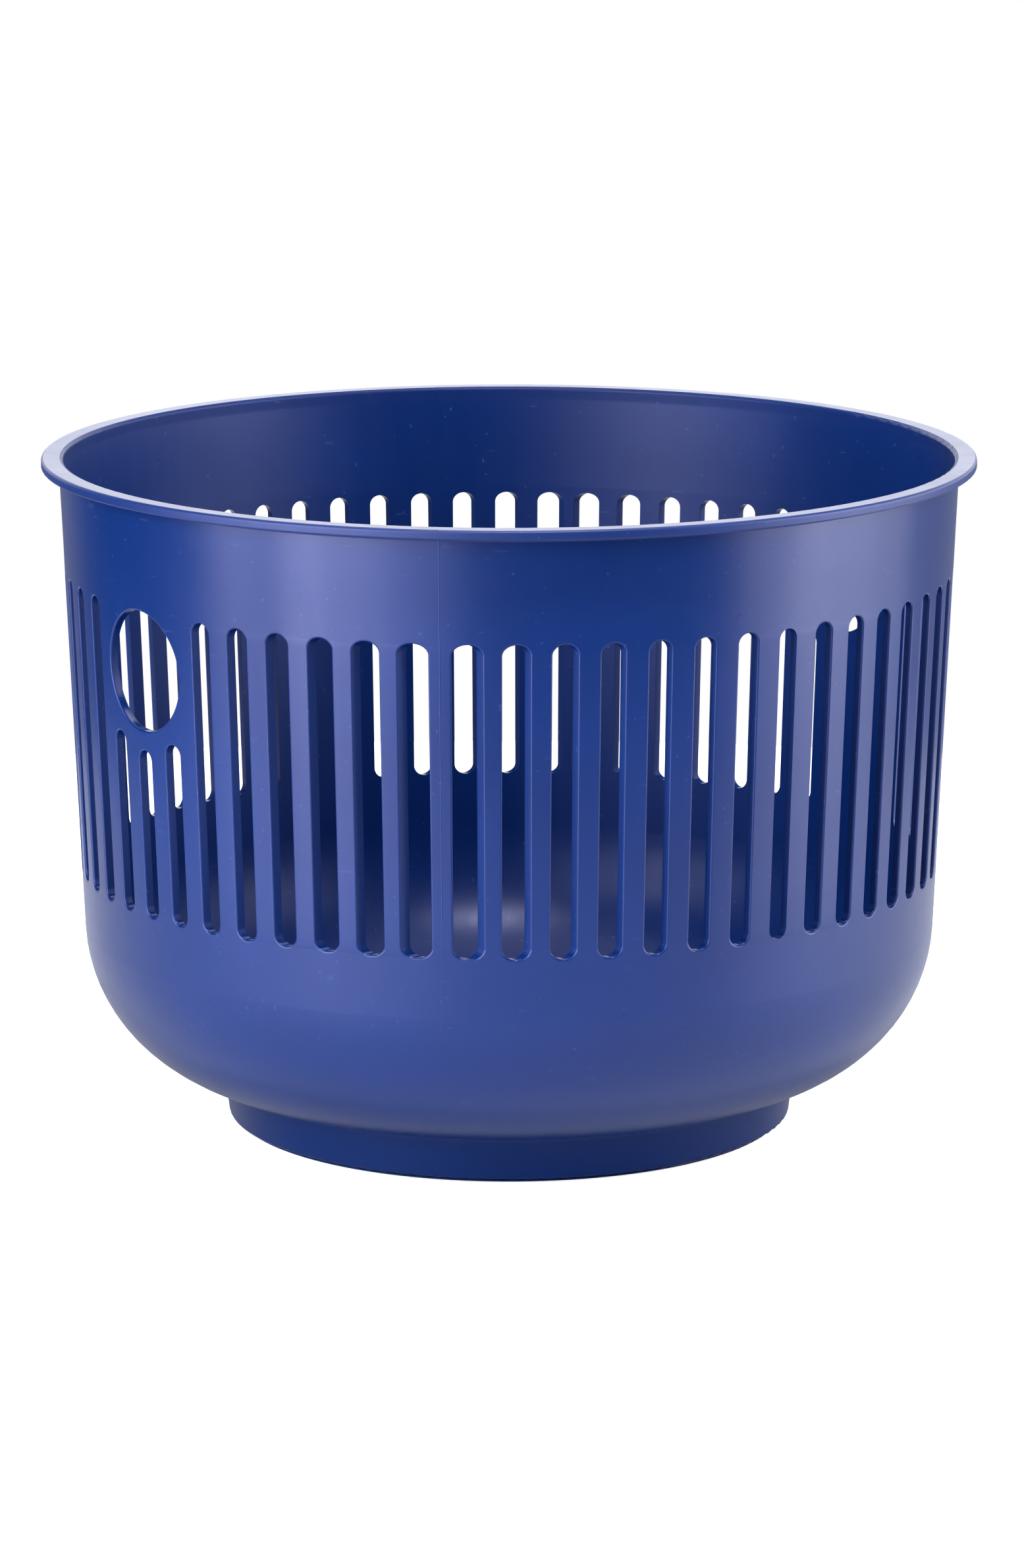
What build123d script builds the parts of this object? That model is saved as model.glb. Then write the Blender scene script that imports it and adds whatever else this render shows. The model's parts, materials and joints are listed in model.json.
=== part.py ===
from build123d import *
import math
import os

# Salad spinner drum on its pivot base, in millimetres.
# +Z is up, the origin is on the table under the middle of the drum.
# The two finger holes face -Y and +Y.

# Drum
DRUM_HEIGHT = 189.2
RIM_RADIUS = 130.0
RIM_THICKNESS = 2.6
WALL = 2.4
WALL_TOP_RADIUS = 125.1          # outside of the wall, under the rim
WALL_DRAFT = 2.45                # degrees, the wall narrows downwards
CORNER_RADIUS = 45.0             # outside of the round between wall and floor
FLOOR_UNDERSIDE = 13.2
RIM_TOP_ROUND = 0.9
RIM_INNER_ROUND = 1.0
RIM_UNDERSIDE_ROUND = 0.5
NECK_ROUND = 1.2                 # where the wall meets the rim, and the foot meets the floor
HUB_FOOT_ROUND = 1.2

# Inside of the rim: a straight land round which the lid fits, then the wall thickens downwards
LAND_RADIUS = 123.9
LAND = 2.6
TAPER = 26.0                     # height over which the wall grows to its full thickness
TAPER_ROUND = 8.0

# Foot skirt under the drum
SKIRT_BOTTOM = 1.6
SKIRT_BOTTOM_RADIUS = 79.4
SKIRT_TOP_RADIUS = 81.0
SKIRT_WALL = 2.4
SKIRT_EDGE_ROUND = 1.0

# Drain slots, in four groups that each face along X or Y
GROUPS = 4
SLOTS_PER_GROUP = 15
SLOT_PITCH = 5.92                # degrees round the wall
SLOT_WIDTH = 5.8
SLOT_BOTTOM = 73.0
SLOT_TOP = 158.0
SLOT_EDGE_ROUND = 0.5

# Finger holes, which shorten the slots below them
FINGER_RADIUS = 16.5
FINGER_LAND = 5.5                # plastic left between a hole and the slots round it

# Pivot on the drum's axis
SHOULDER_RADIUS = 4.0
RUNNING_CLEARANCE = 0.05
BUSH_RADIUS = 6.0
BUSH_FLANGE_RADIUS = 9.5
BUSH_FLANGE = 1.5
BUSH_TOP = 27.0
HUB_RADIUS = 10.5
HUB_TOP = 26.2
AXIAL_PLAY = 0.1
WASHER = 1.0
THREAD_RADIUS = 3.0
NUT_FLATS = 10.0
NUT_HEIGHT = 4.0
HEAD_FLATS = 13.0
HEAD_HEIGHT = 3.5
HEAD_COVER = 1.6                 # plastic of the boss moulded under the bolt's head
HEX_CHAMFER = 0.5
SHOULDER_CHAMFER = 0.3
THREAD_BEYOND_NUT = 0.8
NUT_COLLAR = 1.0
THRUST_WASHER_PLAY = 0.2
TOP_WASHER_PLAY = 0.1
TOP_WASHER_RADIUS = 7.5

# Base plate
BASE_BOTTOM = 0.5
BASE_LIP_RADIUS = 77.4
BASE_LIP = 0.7
BASE_LIP_ROUND = 0.25
DECK_ROUND = 0.8
BASE_WALL_RADIUS = 74.8
BASE_WALL = 2.4
DECK_TOP = 7.5
DECK = 2.4
BOSS_RADIUS = 12.0
BOSS_TOP = 8.5
BOSS_BOTTOM = 0.8
GRIP_INNER_RADIUS = 66.0
CHANNEL_WALL = 1.8
RIBS = 12
RIB = 1.8
RIB_BOTTOM = 1.6
DRAIN_CIRCLE = 38.0
DRAIN_LENGTH = 22.0
DRAIN_WIDTH = 6.0
GRIP_GROOVE = 0.8
GRIP_SOLE_ROUND = 0.3

# Glide pads and the track that they run under
PADS = 6
PAD_CIRCLE = 58.0
PAD_RADIUS = 4.5
PAD_STEM_RADIUS = 2.0
PAD_TOP = 10.2
PAD_ROUND = 1.0
BARB = 0.4                       # how far a barb stands out from its stem
BARB_LENGTH = 1.6
TRACK_BOTTOM = 10.6
TRACK_HALF_WIDTH = 5.0

# Hub cap
CAP_RADIUS = 12.7
CAP_WALL = 1.6
CAP_BOTTOM = 17.0
CAP_TOP = 37.0
CAP_DOME = 6.35                  # height of the dome above the cap's straight side

RIM_UNDERSIDE = DRUM_HEIGHT - RIM_THICKNESS
FINGER_HEIGHT = SLOT_TOP - FINGER_RADIUS
FLOOR_TOP = FLOOR_UNDERSIDE + WALL
THRUST_TOP = BOSS_TOP + WASHER
BUSH_BOTTOM = THRUST_TOP + RUNNING_CLEARANCE
HUB_BOTTOM = BUSH_BOTTOM + BUSH_FLANGE
SHOULDER_TOP = BUSH_TOP + AXIAL_PLAY
GRIP_OUTER_RADIUS = BASE_WALL_RADIUS - BASE_WALL
HEAD_TOP = BOSS_BOTTOM + HEAD_COVER + HEAD_HEIGHT
NUT_BOTTOM = SHOULDER_TOP + WASHER


def wall_radius(height):
    """Outside radius of the straight, drafted stretch of the wall."""
    return WALL_TOP_RADIUS - (RIM_UNDERSIDE - height) * math.tan(math.radians(WALL_DRAFT))


def corner_centre():
    """Centre of the round between wall and floor, as radius and height."""
    height = FLOOR_UNDERSIDE + CORNER_RADIUS
    return wall_radius(height) - CORNER_RADIUS / math.cos(math.radians(WALL_DRAFT)), height


def corner_height(radius, arc_radius):
    """Height of a corner arc at a given distance from the axis."""
    centre_radius, centre_height = corner_centre()
    return centre_height - math.sqrt(arc_radius**2 - (radius - centre_radius) ** 2)


def corner_point(arc_radius, degrees):
    """Point on a corner arc, counted up from straight below its centre."""
    centre_radius, centre_height = corner_centre()
    angle = math.radians(degrees)
    return (
        centre_radius + arc_radius * math.sin(angle),
        centre_height - arc_radius * math.cos(angle),
    )


def corner_arc(arc_radius, start):
    """Corner arc from the point start up to where it meets the wall."""
    centre_radius, _ = corner_centre()
    first = math.degrees(math.asin((start[0] - centre_radius) / arc_radius))
    last = 90 - WALL_DRAFT
    return ThreePointArc(
        start, corner_point(arc_radius, (first + last) / 2), corner_point(arc_radius, last)
    )


def turned(section):
    """Solid of revolution about Z from a section drawn as radius and height."""
    return revolve(Plane.XZ * section, Axis.Z)


def ring(inner, outer, bottom, top):
    """Plain ring about Z."""
    return turned(Pos((inner + outer) / 2, (bottom + top) / 2) * Rectangle(outer - inner, top - bottom))


def disc(radius, bottom, top):
    """Plain cylinder about Z."""
    return Pos(0, 0, bottom) * extrude(Circle(radius), top - bottom)


def hexagon(flats, bottom, top):
    """Hexagonal prism about Z, sized across its flats."""
    outline = RegularPolygon(flats / 2, 6, major_radius=False)
    return Pos(0, 0, bottom) * extrude(outline, top - bottom)


def round_corners(section, radius, *points):
    """Round the section's corners at the given points."""
    for point in points:
        corner = section.vertices().sort_by_distance(Vector(*point))[0]
        section = fillet(corner, radius)
    return section


def drum_section():
    """Half section of the drum, without slots and holes."""
    inner_corner = CORNER_RADIUS - WALL
    centre_radius, _ = corner_centre()
    skirt_top_inside = SKIRT_TOP_RADIUS - SKIRT_WALL
    skirt_outside = (SKIRT_TOP_RADIUS, corner_height(SKIRT_TOP_RADIUS, CORNER_RADIUS))
    skirt_inside = (skirt_top_inside, corner_height(skirt_top_inside, CORNER_RADIUS))
    land_bottom = DRUM_HEIGHT - RIM_INNER_ROUND - LAND
    taper_end = (
        wall_radius(land_bottom - TAPER) - WALL / math.cos(math.radians(WALL_DRAFT)),
        land_bottom - TAPER,
    )
    floor_edge = (centre_radius, FLOOR_UNDERSIDE)
    halfway_in_skirt = math.degrees(math.asin((skirt_top_inside - centre_radius) / CORNER_RADIUS)) / 2
    outside = corner_arc(CORNER_RADIUS, skirt_outside)
    inside = corner_arc(inner_corner, (centre_radius, FLOOR_TOP))
    lines = [
        Polyline(
            skirt_inside,
            (SKIRT_BOTTOM_RADIUS - SKIRT_WALL, SKIRT_BOTTOM),
            (SKIRT_BOTTOM_RADIUS, SKIRT_BOTTOM),
            skirt_outside,
        ),
        outside,
        Polyline(
            outside @ 1,
            (WALL_TOP_RADIUS, RIM_UNDERSIDE),
            (RIM_RADIUS, RIM_UNDERSIDE),
            (RIM_RADIUS, DRUM_HEIGHT),
            (LAND_RADIUS, DRUM_HEIGHT),
            (LAND_RADIUS, land_bottom),
            taper_end,
            inside @ 1,
        ),
        inside,
        Polyline(
            (centre_radius, FLOOR_TOP),
            (HUB_RADIUS, FLOOR_TOP),
            (HUB_RADIUS, HUB_TOP),
            (BUSH_RADIUS, HUB_TOP),
            (BUSH_RADIUS, HUB_BOTTOM),
            (HUB_RADIUS, HUB_BOTTOM),
            (HUB_RADIUS, FLOOR_UNDERSIDE),
            (PAD_CIRCLE - TRACK_HALF_WIDTH, FLOOR_UNDERSIDE),
            (PAD_CIRCLE - TRACK_HALF_WIDTH, TRACK_BOTTOM),
            (PAD_CIRCLE + TRACK_HALF_WIDTH, TRACK_BOTTOM),
            (PAD_CIRCLE + TRACK_HALF_WIDTH, FLOOR_UNDERSIDE),
            floor_edge,
        ),
        ThreePointArc(floor_edge, corner_point(CORNER_RADIUS, halfway_in_skirt), skirt_inside),
    ]
    section = make_face(Curve() + lines)
    section = round_corners(section, RIM_TOP_ROUND, (RIM_RADIUS, DRUM_HEIGHT))
    section = round_corners(section, RIM_INNER_ROUND, (LAND_RADIUS, DRUM_HEIGHT))
    section = round_corners(section, TAPER_ROUND, (LAND_RADIUS, land_bottom), taper_end)
    section = round_corners(section, NECK_ROUND, (WALL_TOP_RADIUS, RIM_UNDERSIDE), skirt_outside)
    section = round_corners(section, RIM_UNDERSIDE_ROUND, (RIM_RADIUS, RIM_UNDERSIDE))
    section = round_corners(section, SKIRT_EDGE_ROUND, (SKIRT_BOTTOM_RADIUS, SKIRT_BOTTOM))
    return round_corners(section, HUB_FOOT_ROUND, (HUB_RADIUS, FLOOR_TOP))


def slot_top(offset):
    """Top of a slot at a distance from a finger hole's axis: full height where it clears the hole."""
    reach = FINGER_RADIUS + FINGER_LAND + SLOT_WIDTH / 2
    if abs(offset) >= reach:
        return SLOT_TOP
    end_centre = FINGER_HEIGHT - math.sqrt(reach**2 - offset**2)
    return end_centre + SLOT_WIDTH / 2


def facing_x(offset, height):
    """Workplane across the +X direction, halfway out to the wall."""
    return Plane((WALL_TOP_RADIUS / 2, offset, height), (0, 1, 0), (1, 0, 0))


def slot_cutter(turn, top):
    """One slot facing +X, a number of degrees round the wall, leaning as the wall there does."""
    middle = (top + SLOT_BOTTOM) / 2
    sideways = math.sin(math.radians(turn))
    lean = math.degrees(math.atan(sideways * math.tan(math.radians(WALL_DRAFT))))
    outline = SlotOverall(top - SLOT_BOTTOM, SLOT_WIDTH, rotation=90 - lean)
    return extrude(facing_x(wall_radius(middle) * sideways, middle) * outline, RIM_RADIUS / 2)


def slot_group(facing):
    """All slots and any finger hole of the group that faces the given number of degrees from +X."""
    has_finger_hole = facing % 180 == 90
    cutters = []
    for index in range(SLOTS_PER_GROUP):
        turn = (index - (SLOTS_PER_GROUP - 1) / 2) * SLOT_PITCH
        offset = wall_radius(FINGER_HEIGHT) * math.sin(math.radians(turn))
        cutters.append(slot_cutter(turn, slot_top(offset) if has_finger_hole else SLOT_TOP))
    if has_finger_hole:
        cutters.append(extrude(facing_x(0, FINGER_HEIGHT) * Circle(FINGER_RADIUS), RIM_RADIUS / 2))
    return [Rot(0, 0, facing) * cutter for cutter in cutters]


def basket():
    """The drum moulding: rim, slotted wall, rounded floor, skirt and hub."""
    drum = turned(drum_section())
    for group in range(GROUPS):
        drum -= slot_group(group * 360 / GROUPS)
    wall = drum.faces().filter_by(GeomType.CONE).sort_by(SortBy.AREA)[-1]
    slot_edges = [edge for wire in wall.inner_wires() for edge in wire.edges()]
    return fillet(slot_edges, SLOT_EDGE_ROUND)


def hub_bush():
    """Flanged bush pressed into the drum's hub from below."""
    bore = SHOULDER_RADIUS + RUNNING_CLEARANCE
    flange = ring(bore, BUSH_FLANGE_RADIUS, BUSH_BOTTOM, HUB_BOTTOM)
    return flange + ring(bore, BUSH_RADIUS, HUB_BOTTOM, BUSH_TOP)


def hub_cap():
    """Domed cap over the nut, which snaps onto the outside of the hub."""
    sphere = (CAP_RADIUS**2 + CAP_DOME**2) / (2 * CAP_DOME)
    centre = Pos(0, 0, CAP_TOP - sphere)
    outside = disc(CAP_RADIUS, CAP_BOTTOM, CAP_TOP) & centre * Sphere(sphere)
    inside = disc(HUB_RADIUS, CAP_BOTTOM, CAP_TOP) & centre * Sphere(sphere - CAP_WALL)
    return outside - inside


def chamfer_ends(prism, size, bottom=False, top=False):
    """Turn the corners off a hexagonal prism's ends, as on a bolt head or a nut."""
    box = prism.bounding_box()
    radius = max(box.size.X, box.size.Y) / 2
    flat = min(box.size.X, box.size.Y) / 2
    low = flat if bottom else radius
    high = flat if top else radius
    outline = [
        (0, 0),
        (low, 0),
        (radius, size),
        (radius, box.size.Z - size),
        (high, box.size.Z),
        (0, box.size.Z),
    ]
    return prism & Pos(0, 0, box.min.Z) * turned(make_face(Polyline(*outline, close=True)))


def spindle_bolt():
    """Stainless shoulder bolt: hexagon head moulded into the base, plain shoulder and threaded end."""
    head = chamfer_ends(hexagon(HEAD_FLATS, HEAD_TOP - HEAD_HEIGHT, HEAD_TOP), HEX_CHAMFER, bottom=True)
    shoulder = disc(SHOULDER_RADIUS, HEAD_TOP, SHOULDER_TOP)
    shoulder = chamfer(shoulder.edges().sort_by(Axis.Z)[-1], SHOULDER_CHAMFER)
    thread = disc(THREAD_RADIUS, SHOULDER_TOP, NUT_BOTTOM + NUT_HEIGHT + THREAD_BEYOND_NUT)
    thread = chamfer(thread.edges().sort_by(Axis.Z)[-1], HEX_CHAMFER)
    return head + shoulder + thread


def thrust_washer():
    """Washer on the base's boss that the drum's bush turns on."""
    return ring(SHOULDER_RADIUS + THRUST_WASHER_PLAY, BUSH_FLANGE_RADIUS, BOSS_TOP, THRUST_TOP)


def top_washer():
    """Steel washer between the shoulder and the nut, which holds the drum down."""
    return ring(THREAD_RADIUS + TOP_WASHER_PLAY, TOP_WASHER_RADIUS, SHOULDER_TOP, NUT_BOTTOM)


def lock_nut():
    """Hexagon nut with a round collar, on the bolt's thread."""
    body_top = NUT_BOTTOM + NUT_HEIGHT - NUT_COLLAR
    body = chamfer_ends(hexagon(NUT_FLATS, NUT_BOTTOM, body_top), HEX_CHAMFER, bottom=True, top=True)
    nut = body + disc(NUT_FLATS / 2 - HEX_CHAMFER, body_top, NUT_BOTTOM + NUT_HEIGHT)
    return nut - disc(THREAD_RADIUS, NUT_BOTTOM, NUT_BOTTOM + NUT_HEIGHT)


def base_plate():
    """Still base: lip, wall, deck, grip channel, ribs, drains, pad holes and a boss round the bolt."""
    deck_bottom = DECK_TOP - DECK
    channel_inner = GRIP_INNER_RADIUS - CHANNEL_WALL
    outline = [
        (0, BOSS_BOTTOM),
        (BOSS_RADIUS, BOSS_BOTTOM),
        (BOSS_RADIUS, deck_bottom),
        (channel_inner, deck_bottom),
        (channel_inner, RIB_BOTTOM),
        (GRIP_INNER_RADIUS, RIB_BOTTOM),
        (GRIP_INNER_RADIUS, deck_bottom),
        (GRIP_OUTER_RADIUS, deck_bottom),
        (GRIP_OUTER_RADIUS, BASE_BOTTOM),
        (BASE_LIP_RADIUS, BASE_BOTTOM),
        (BASE_LIP_RADIUS, BASE_BOTTOM + BASE_LIP),
        (BASE_WALL_RADIUS, BASE_BOTTOM + BASE_LIP),
        (BASE_WALL_RADIUS, DECK_TOP),
        (BOSS_RADIUS, DECK_TOP),
        (BOSS_RADIUS, BOSS_TOP),
        (0, BOSS_TOP),
    ]
    section = make_face(Polyline(*outline, close=True))
    lip_edge = [(BASE_LIP_RADIUS, BASE_BOTTOM), (BASE_LIP_RADIUS, BASE_BOTTOM + BASE_LIP)]
    section = round_corners(section, BASE_LIP_ROUND, *lip_edge)
    section = round_corners(section, DECK_ROUND, (BASE_WALL_RADIUS, DECK_TOP), (BOSS_RADIUS, DECK_TOP))
    plate = turned(section)
    rib_length = channel_inner - BOSS_RADIUS + CHANNEL_WALL
    rib_middle = (channel_inner + BOSS_RADIUS) / 2
    rib = Pos(rib_middle, 0, (RIB_BOTTOM + deck_bottom) / 2) * Box(rib_length, RIB, deck_bottom - RIB_BOTTOM)
    plate += [Rot(0, 0, index * 360 / RIBS) * rib for index in range(RIBS)]
    plate -= spindle_bolt()
    drain = extrude(Pos(DRAIN_CIRCLE, 0, deck_bottom) * SlotOverall(DRAIN_LENGTH, DRAIN_WIDTH), DECK)
    plate -= [Rot(0, 0, (index + 0.5) * 360 / RIBS) * drain for index in range(RIBS)]
    plate -= [place * disc(PAD_STEM_RADIUS, deck_bottom, DECK_TOP) for place in pad_places()]
    return plate


def pad_places():
    """Where the glide pads stand, between the ribs of the base."""
    return [Rot(0, 0, (index + 0.25) * 360 / PADS) * Pos(PAD_CIRCLE, 0, 0) for index in range(PADS)]


def glide_pad(place):
    """Mushroom-shaped pad: a head, a stem through the deck and a barb under it."""
    deck_bottom = DECK_TOP - DECK
    outline = [
        (0, deck_bottom - BARB_LENGTH),
        (PAD_STEM_RADIUS - BARB, deck_bottom - BARB_LENGTH),
        (PAD_STEM_RADIUS + BARB, deck_bottom),
        (PAD_STEM_RADIUS, deck_bottom),
        (PAD_STEM_RADIUS, DECK_TOP),
        (PAD_RADIUS, DECK_TOP),
        (PAD_RADIUS, PAD_TOP),
        (0, PAD_TOP),
    ]
    section = make_face(Polyline(*outline, close=True))
    return place * turned(round_corners(section, PAD_ROUND, (PAD_RADIUS, PAD_TOP)))


def grip_ring():
    """Soft ring in the base's channel, with two grooves round its sole."""
    top = DECK_TOP - DECK
    width = GRIP_OUTER_RADIUS - GRIP_INNER_RADIUS
    sole = ring(GRIP_INNER_RADIUS, GRIP_OUTER_RADIUS, 0, top)
    for share in (1 / 3, 2 / 3):
        middle = GRIP_INNER_RADIUS + width * share
        sole -= ring(middle - GRIP_GROOVE / 2, middle + GRIP_GROOVE / 2, 0, GRIP_GROOVE)
    rims = sole.edges().filter_by(GeomType.CIRCLE).group_by(Axis.Z)[0]
    outer_rims = rims.sort_by(SortBy.RADIUS)
    return fillet([outer_rims[0], outer_rims[-1]], GRIP_SOLE_ROUND)


PARTS = {
    "basket": basket,
    "hub_bush": hub_bush,
    "hub_cap": hub_cap,
    "thrust_washer": thrust_washer,
    "top_washer": top_washer,
    "lock_nut": lock_nut,
    "spindle_bolt": spindle_bolt,
    "base_plate": base_plate,
    "grip_ring": grip_ring,
}

os.makedirs("parts", exist_ok=True)
for name, make in PARTS.items():
    export_step(make(), f"parts/{name}.step")
for number, place in enumerate(pad_places(), start=1):
    export_step(glide_pad(place), f"parts/glide_pad_{number}.step")
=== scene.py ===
import json
import math

import bpy
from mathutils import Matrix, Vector


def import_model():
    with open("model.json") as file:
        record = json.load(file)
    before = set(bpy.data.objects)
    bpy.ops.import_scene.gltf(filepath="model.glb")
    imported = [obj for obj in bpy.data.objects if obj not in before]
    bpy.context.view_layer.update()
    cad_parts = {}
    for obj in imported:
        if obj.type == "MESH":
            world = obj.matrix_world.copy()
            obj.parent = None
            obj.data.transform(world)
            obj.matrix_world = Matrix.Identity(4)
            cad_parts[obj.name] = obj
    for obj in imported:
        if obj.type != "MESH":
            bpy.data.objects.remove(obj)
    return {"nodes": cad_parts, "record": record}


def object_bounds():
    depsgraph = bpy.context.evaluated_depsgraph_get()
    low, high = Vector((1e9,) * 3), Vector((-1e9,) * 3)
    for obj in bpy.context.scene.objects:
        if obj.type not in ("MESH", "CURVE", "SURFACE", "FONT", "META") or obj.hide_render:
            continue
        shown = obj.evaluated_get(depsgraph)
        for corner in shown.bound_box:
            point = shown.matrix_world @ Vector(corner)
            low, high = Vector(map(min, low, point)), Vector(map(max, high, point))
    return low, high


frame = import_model()
cad_low, cad_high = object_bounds()

MM = 0.001

# Zones of the drum
RIM_TOP = cad_high.z
RIM_FACE_BOTTOM = RIM_TOP - 2.7 * MM
RUBBED_BOTTOM = RIM_TOP - 2.8 * MM      # above this height a lid has rubbed the inside
SLOTS_TOP = 165 * MM                    # slots and finger holes lie between these heights
SLOTS_BOTTOM = 67 * MM
FOOT_TOP = 13 * MM
FOOT_RADIUS = 81.5 * MM
INSIDE_RADIUS = 121 * MM                # nearer to the axis, faces that look up are inside

# The camera stands where both slot groups and one finger hole, turned to the left, show.
CAMERA_AZIMUTH = 53.4       # degrees, 0 looks along +Y
CAMERA_DISTANCE = 1.714
CAMERA_HEIGHT = 0.461
CAMERA_TILT = 12.06         # degrees below the horizon
CAMERA_LENS = 143.0
CAMERA_ASIDE = 0.55 * MM    # the aim is this far to the right of the drum's axis

# Lights: degrees to the right as seen from the camera, distance and height of the middle,
# width and length in metres, watts
FRONT_DISTANCE = 1.1
FRONT_HEIGHT = 0.38
FRONT_SIZE = (0.28, 1.1)
FRONT_LEFT = ((-70, 6.0), (-50, 11.4), (-35, 7.2), (-20, 3.0))
FRONT_RIGHT = ((65, 4.6), (80, 8.8), (95, 5.2), (110, 2.2))
TOP_LIGHT = (180, 0.35, 1.1, (0.9, 0.7), 5.6)
SPARK_LIGHT = (10, 0.45, 1.3, (0.1, 0.1), 11)
AIM_HEIGHT = 0.09

# Light from the world
BACKDROP = 2.4
BACKDROP_MIDDLE = 165           # degrees to the right as seen from the camera
BACKDROP_SIDES = (0.35, 0.8)    # cosine of the angle from its middle, where it starts and is full
BACKDROP_TOP = (-0.50, -0.30)   # minus the sine of the elevation, the same
HORIZON = (-0.01, 0.01)         # the same, for the change to the floor
BEYOND = 0.3                    # the floor behind, past the table top
ROOM = 0.02

# Table top
TABLE_RADIUS = 0.52
TABLE_GAP = 0.05 * MM
TABLE_GREYS = (0.56, 0.62)
TABLE_GLOW = 0.85               # what the camera sees of it, over its own shade

# Blue plastic
BLUE = (0.0005, 0.0125, 0.085, 1)
BLUE_PALE = (0.0010, 0.0195, 0.128, 1)
BLUE_SCUFF = (0.030, 0.060, 0.190, 1)
# painted shade: a darker blue for the foot, standing in for the shadow under the bowl's overhang
FOOT_PAINTED_SHADE_BLUE = (0.0008, 0.0150, 0.094, 1)
GLOSS_TINT = (0.66, 0.66, 1, 1)
GLOSS = 0.62
GLOSS_LOST_INSIDE = 0.30
GLOSS_LOST_ON_FOOT = 0.34
ROUGH_OUTSIDE = 0.235
ROUGH_INSIDE = 0.30
ROUGH_RUBBED = 0.08             # these are added
ROUGH_RIM_FACE = 0.16
ROUGH_SLOT_SIDES = 0.17
ROUGH_SLOT_ENDS = -0.13
SKIN_DEPTH = 0.012 * MM
SEAM_HALF_WIDTH = 0.22 * MM
SEAM_DEPTH = 0.05 * MM


# ---------------------------------------------------------------- node helpers

def grey(value):
    return (value, value, value, 1)


class Shader:
    """A node material, with short calls for the nodes that it needs."""

    def __init__(self, name, **sockets):
        self.material = bpy.data.materials.new(name)
        self.material.use_nodes = True
        self.tree = self.material.node_tree
        self.bsdf = self.tree.nodes["Principled BSDF"]
        for socket, value in sockets.items():
            self.bsdf.inputs[socket.replace("_", " ")].default_value = value
        coordinates = self.node("ShaderNodeTexCoord")
        self.place = coordinates.outputs["Object"]
        self.normal = coordinates.outputs["Normal"]
        self.x, self.y, self.z = self.split(self.place)
        self.radius = self.length(self.x, self.y)

    def node(self, kind):
        return self.tree.nodes.new(kind)

    def link(self, output, target):
        self.tree.links.new(output, target)

    def put(self, value, target):
        if isinstance(value, bpy.types.NodeSocket):
            self.link(value, target)
        else:
            target.default_value = value

    def set(self, socket, value):
        self.put(value, self.bsdf.inputs[socket])

    def math(self, operation, a, b=0.0):
        node = self.node("ShaderNodeMath")
        node.operation = operation
        self.put(a, node.inputs[0])
        self.put(b, node.inputs[1])
        return node.outputs[0]

    def chain(self, operation, first, *others):
        for other in others:
            first = self.math(operation, first, other)
        return first

    def plus(self, *values):
        return self.chain("ADD", *values)

    def minus(self, *values):
        return self.chain("SUBTRACT", *values)

    def times(self, *values):
        return self.chain("MULTIPLY", *values)

    def absolute(self, value):
        return self.math("ABSOLUTE", value)

    def length(self, a, b):
        return self.math("SQRT", self.plus(self.math("POWER", a, 2), self.math("POWER", b, 2)))

    def remap(self, value, low, high, to_low=0.0, to_high=1.0):
        node = self.node("ShaderNodeMapRange")
        node.interpolation_type = "SMOOTHSTEP"
        for slot, number in zip(node.inputs[:5], (value, low, high, to_low, to_high)):
            self.put(number, slot)
        return node.outputs[0]

    def above(self, value, edge, softness):
        """1 where the value is over the edge, 0 where it is under it."""
        return self.remap(value, edge - softness, edge + softness)

    def below(self, value, edge, softness):
        """0 where the value is over the edge, 1 where it is under it."""
        return self.remap(value, edge + softness, edge - softness)

    def noise(self, scale, detail=2.0, stretch=(1, 1, 1)):
        mapping = self.node("ShaderNodeMapping")
        mapping.inputs["Scale"].default_value = stretch
        self.link(self.place, mapping.inputs["Vector"])
        node = self.node("ShaderNodeTexNoise")
        node.inputs["Scale"].default_value = scale
        node.inputs["Detail"].default_value = detail
        self.link(mapping.outputs[0], node.inputs["Vector"])
        return node.outputs["Fac"]

    def mix(self, factor, a, b, kind="RGBA"):
        """b where the factor is 1 and a where it is 0, of the kind RGBA, FLOAT or VECTOR."""
        node = self.node("ShaderNodeMix")
        node.data_type = kind
        factor_in, a_in, b_in = [socket for socket in node.inputs if socket.enabled]
        for value, socket in ((factor, factor_in), (a, a_in), (b, b_in)):
            self.put(value, socket)
        return next(socket for socket in node.outputs if socket.enabled)

    def split(self, vector):
        node = self.node("ShaderNodeSeparateXYZ")
        self.link(vector, node.inputs[0])
        return node.outputs

    def join(self, *parts):
        node = self.node("ShaderNodeCombineXYZ")
        for part, socket in zip(parts, node.inputs):
            self.put(part, socket)
        return node.outputs[0]

    def to_world(self, normal):
        """A normal in the object's own axes, turned into the world's and made 1 long."""
        turn = self.node("ShaderNodeVectorTransform")
        turn.vector_type = "NORMAL"
        turn.convert_from = "OBJECT"
        turn.convert_to = "WORLD"
        self.link(normal, turn.inputs[0])
        unit = self.node("ShaderNodeVectorMath")
        unit.operation = "NORMALIZE"
        self.link(turn.outputs[0], unit.inputs[0])
        return unit.outputs[0]

    def bump(self, height, distance, under=None):
        node = self.node("ShaderNodeBump")
        node.inputs["Strength"].default_value = 1.0
        node.inputs["Distance"].default_value = distance
        self.link(height, node.inputs["Height"])
        if under is not None:
            self.link(under, node.inputs["Normal"])
        return node.outputs["Normal"]


# ---------------------------------------------------------------- materials

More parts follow.
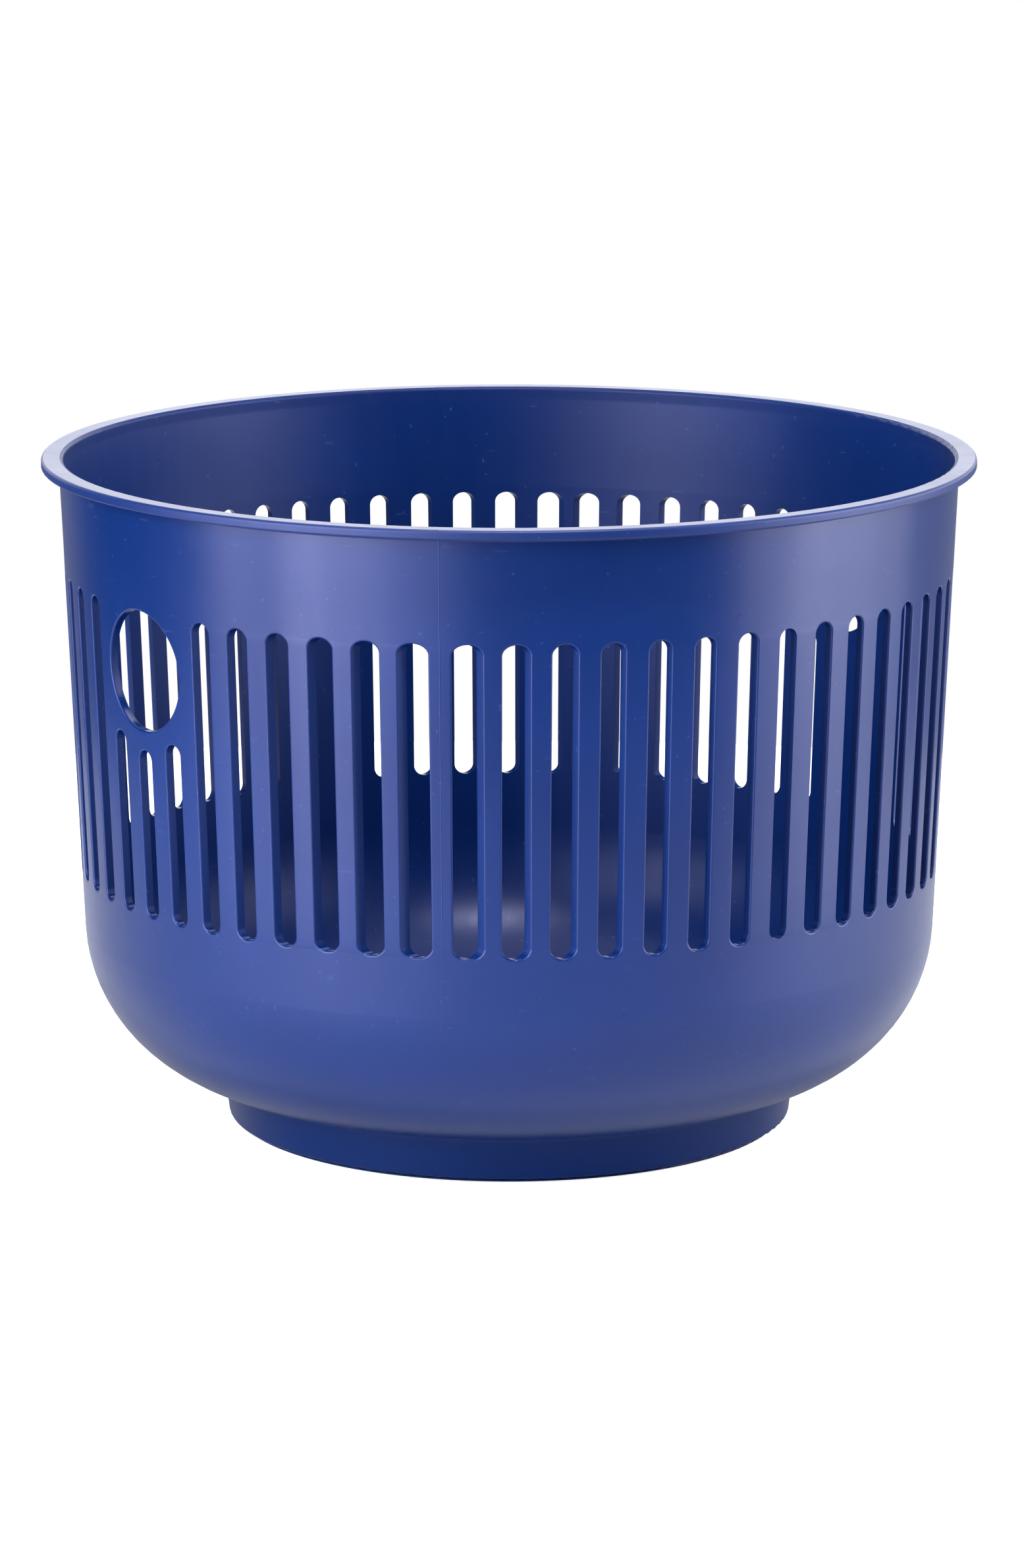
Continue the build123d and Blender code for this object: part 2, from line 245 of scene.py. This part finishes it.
class BluePlastic(Shader):
    """Moulded blue plastic: satin skin outside, smoother and duller inside, light wear."""

    def __init__(self):
        super().__init__("blue_plastic", IOR=1.5, Specular_Tint=GLOSS_TINT)
        self.nx, self.ny, self.nz = self.split(self.normal)
        # how far a face looks away from the drum's axis, from -1 to 1
        across = self.plus(self.times(self.nx, self.x), self.times(self.ny, self.y))
        self.safe_radius = self.math("MAXIMUM", self.radius, 1 * MM)
        self.outward = self.math("DIVIDE", across, self.safe_radius)
        self.faces_in = self.remap(self.outward, -0.05, -0.25)
        faces_up = self.times(
            self.remap(self.nz, 0.3, 0.5), self.below(self.radius, INSIDE_RADIUS, 0.5 * MM)
        )
        self.inside = self.math("MAXIMUM", self.faces_in, faces_up)
        self.outside = self.minus(1.0, self.inside)
        self.foot = self.times(
            self.below(self.z, FOOT_TOP, 1 * MM), self.below(self.radius, FOOT_RADIUS, 0.5 * MM)
        )
        self.set("Base Color", self.colour())
        gloss = self.minus(
            GLOSS, self.times(self.inside, GLOSS_LOST_INSIDE), self.times(self.foot, GLOSS_LOST_ON_FOOT)
        )
        self.set("Specular IOR Level", gloss)
        self.set("Roughness", self.plus(self.skin_roughness(), self.edge_roughness()))
        self.set("Normal", self.relief())

    def colour(self):
        """Two blues in soft clouds, the paler one outside, with specks and scuffs; the foot is painted
        darker as painted shade under the bowl's overhang.
        """
        clouds = self.remap(self.noise(14, 3), 0.35, 0.65, 0.0, 0.5)
        blue = self.mix(self.plus(clouds, self.times(self.outside, 0.5)), BLUE, BLUE_PALE)
        specks = self.times(self.remap(self.noise(620, 1), 0.74, 0.77), 0.5)
        scuffs = self.times(self.remap(self.noise(110, 2, (1, 1, 5)), 0.72, 0.76), 0.25)
        worn = self.mix(self.math("MAXIMUM", specks, scuffs), blue, BLUE_SCUFF)
        # painted shade: the foot's base colour is darkened to stand in for the shadow under the bowl
        return self.mix(self.times(self.foot, 0.9), worn, FOOT_PAINTED_SHADE_BLUE)

    def skin_roughness(self):
        """Mottled outside; drawn out in fine upright streaks inside, and rubbed by the lid."""
        mottle = self.times(self.noise(160, 4), 0.05)
        patches = self.times(self.noise(30, 3, (1, 1, 0.25)), 0.07)
        streaks = self.times(self.noise(260, 3, (1, 1, 0.035)), 0.12)
        ragged = self.plus(self.z, self.times(self.noise(90, 3, (1, 1, 0.1)), 2 * MM))
        rubbed = self.times(self.faces_in, self.above(ragged, RUBBED_BOTTOM, 0.8 * MM))
        return self.mix(
            self.inside,
            self.plus(ROUGH_OUTSIDE, mottle, patches),
            self.plus(ROUGH_INSIDE, streaks, self.times(rubbed, ROUGH_RUBBED)),
            "FLOAT",
        )

    def edge_roughness(self):
        """Glossier ends and duller sides of slots and finger holes, duller outer face of the rim."""
        cut = self.times(
            self.remap(self.absolute(self.outward), 0.93, 0.75),
            self.above(self.z, SLOTS_BOTTOM, 1 * MM),
            self.below(self.z, SLOTS_TOP, 1 * MM),
        )
        upright = self.remap(self.absolute(self.nz), 0.7, 0.4)
        rim_face = self.times(
            self.above(self.z, RIM_FACE_BOTTOM, 0.2 * MM), self.remap(self.outward, 0.3, 0.5)
        )
        return self.plus(
            self.times(cut, self.mix(upright, ROUGH_SLOT_ENDS, ROUGH_SLOT_SIDES, "FLOAT")),
            self.times(rim_face, ROUGH_RIM_FACE),
        )

    def relief(self):
        """Fine eroded skin, fainter inside, and the mould's four parting lines."""
        erosion = self.times(self.noise(2200, 2), self.plus(0.25, self.times(self.outside, 0.75)))
        skin = self.bump(erosion, SKIN_DEPTH, self.turned_normal())
        off_diagonal = self.absolute(self.minus(self.absolute(self.x), self.absolute(self.y)))
        seam = self.times(self.remap(off_diagonal, SEAM_HALF_WIDTH, 0.0), self.outside)
        return self.bump(seam, SEAM_DEPTH, skin)

    def turned_normal(self):
        """The normal, made exactly radial where the surface is one of revolution about Z."""
        level = self.length(self.nx, self.ny)
        radial = self.math("DIVIDE", self.absolute(self.outward), self.math("MAXIMUM", level, 0.01))
        scale = self.math("DIVIDE", self.outward, self.safe_radius)
        exact = self.join(self.times(self.x, scale), self.times(self.y, scale), self.nz)
        is_turned = self.remap(radial, 0.990, 0.998)
        return self.to_world(self.mix(is_turned, self.normal, exact, "VECTOR"))


def simple(name, colour, roughness, spread, grain, depth, stretch=(1, 1, 1), **sockets):
    """Uneven single-colour material with a grain."""
    s = Shader(name, **sockets)
    tone = s.remap(s.noise(60, 3), 0.3, 0.7)
    darker = tuple(0.82 * c for c in colour) + (1,)
    s.set("Base Color", s.mix(tone, darker, tuple(colour) + (1,)))
    uneven = s.noise(grain, 3, stretch)
    s.set("Roughness", s.plus(roughness, s.times(uneven, spread)))
    s.set("Normal", s.bump(uneven, depth))
    return s.material


def soft_grip():
    return simple("soft_grip", (0.018, 0.022, 0.035), 0.62, 0.2, 1800, 0.03 * MM)


def acetal():
    return simple("acetal", (0.78, 0.78, 0.75), 0.30, 0.15, 900, 0.01 * MM, Subsurface_Weight=0.1)


def stainless():
    turned = (0.15, 0.15, 3)
    return simple("stainless", (0.60, 0.60, 0.61), 0.20, 0.18, 900, 0.006 * MM, turned, Metallic=1.0)


MATERIALS = {
    "blue_plastic": BluePlastic().material,
    "soft_grip": soft_grip(),
    "acetal": acetal(),
    "stainless": stainless(),
}

for entry in frame["record"]["subparts"]:
    node = frame["nodes"][entry["node"]]
    node.data.materials.clear()
    node.data.materials.append(MATERIALS[entry["material_slot"]])


# ---------------------------------------------------------------- studio

def around(azimuth, distance, height):
    """A point that is seen from the camera's side at a number of degrees to its right."""
    angle = math.radians(CAMERA_AZIMUTH + azimuth)
    return Vector((distance * math.sin(angle), -distance * math.cos(angle), height))


def aim(thing, target):
    thing.rotation_mode = "QUATERNION"
    thing.rotation_quaternion = (target - thing.location).to_track_quat("-Z", "Y")


def softbox(name, azimuth, distance, height, size, watts):
    light = bpy.data.lights.new(name, "AREA")
    light.shape = "RECTANGLE"
    light.size, light.size_y = size
    light.energy = watts
    box = bpy.data.objects.new(name, light)
    box.location = around(azimuth, distance, height)
    aim(box, Vector((0, 0, AIM_HEIGHT)))
    box.visible_camera = False
    bpy.context.scene.collection.objects.link(box)


def table_top():
    """A round white table top."""
    bpy.ops.mesh.primitive_circle_add(
        vertices=128, radius=TABLE_RADIUS, fill_type="NGON", location=(0, 0, cad_low.z - TABLE_GAP)
    )
    top = bpy.context.active_object
    top.name = "table_top"
    s = Shader("table_top", Roughness=0.6)
    s.set("Base Color", s.mix(s.noise(8, 3), *map(grey, TABLE_GREYS)))
    s.set("Emission Color", grey(1))
    seen = s.node("ShaderNodeLightPath").outputs["Is Camera Ray"]
    s.set("Emission Strength", s.times(seen, TABLE_GLOW))
    top.data.materials.append(s.material)


def world():
    """A bright backdrop low behind the object in a dim room; the camera itself sees white all round."""
    studio_world = bpy.data.worlds.new("studio")
    bpy.context.scene.world = studio_world
    studio_world.use_nodes = True
    tree = studio_world.node_tree
    tree.nodes.clear()
    link = tree.links.new
    direction = tree.nodes.new("ShaderNodeTexCoord").outputs["Generated"]

    def fade(across, start, end):
        """1 past end and 0 before start, along a direction."""
        dot = tree.nodes.new("ShaderNodeVectorMath")
        dot.operation = "DOT_PRODUCT"
        dot.inputs[1].default_value = across
        link(direction, dot.inputs[0])
        step = tree.nodes.new("ShaderNodeMapRange")
        step.interpolation_type = "SMOOTHSTEP"
        step.inputs["From Min"].default_value = start
        step.inputs["From Max"].default_value = end
        link(dot.outputs["Value"], step.inputs["Value"])
        return step.outputs[0]

    down = (0, 0, -1)
    backdrop = tree.nodes.new("ShaderNodeMath")
    backdrop.operation = "MULTIPLY"
    link(fade(around(BACKDROP_MIDDLE, 1, 0), *BACKDROP_SIDES), backdrop.inputs[0])
    link(fade(down, *BACKDROP_TOP), backdrop.inputs[1])
    level = tree.nodes.new("ShaderNodeMapRange")
    level.inputs["To Min"].default_value = BACKDROP
    level.inputs["To Max"].default_value = BEYOND
    link(fade(down, *HORIZON), level.inputs["Value"])
    strength = tree.nodes.new("ShaderNodeMath")
    strength.operation = "MULTIPLY_ADD"
    link(backdrop.outputs[0], strength.inputs[0])
    link(level.outputs[0], strength.inputs[1])
    strength.inputs[2].default_value = ROOM
    studio = tree.nodes.new("ShaderNodeBackground")
    link(strength.outputs[0], studio.inputs["Strength"])
    white = tree.nodes.new("ShaderNodeBackground")
    for background in (studio, white):
        background.inputs["Color"].default_value = grey(1)
    path = tree.nodes.new("ShaderNodeLightPath")
    mix = tree.nodes.new("ShaderNodeMixShader")
    link(path.outputs["Is Camera Ray"], mix.inputs[0])
    link(studio.outputs[0], mix.inputs[1])
    link(white.outputs[0], mix.inputs[2])
    output = tree.nodes.new("ShaderNodeOutputWorld")
    link(mix.outputs[0], output.inputs["Surface"])


def camera():
    data = bpy.data.cameras.new("camera")
    data.lens = CAMERA_LENS
    eye = bpy.data.objects.new("camera", data)
    eye.location = around(0, CAMERA_DISTANCE, CAMERA_HEIGHT)
    aside = around(90, CAMERA_ASIDE, 0)
    drop = CAMERA_DISTANCE * math.tan(math.radians(CAMERA_TILT))
    aim(eye, Vector((0, 0, CAMERA_HEIGHT - drop)) + aside)
    bpy.context.scene.collection.objects.link(eye)
    bpy.context.scene.camera = eye


table_top()
world()
camera()
for azimuth, watts in FRONT_LEFT + FRONT_RIGHT:
    softbox(f"front_{azimuth}", azimuth, FRONT_DISTANCE, FRONT_HEIGHT, FRONT_SIZE, watts)
softbox("top", *TOP_LIGHT)
softbox("spark", *SPARK_LIGHT)
bpy.context.scene.view_settings.view_transform = "Standard"
bpy.context.scene.view_settings.look = "None"
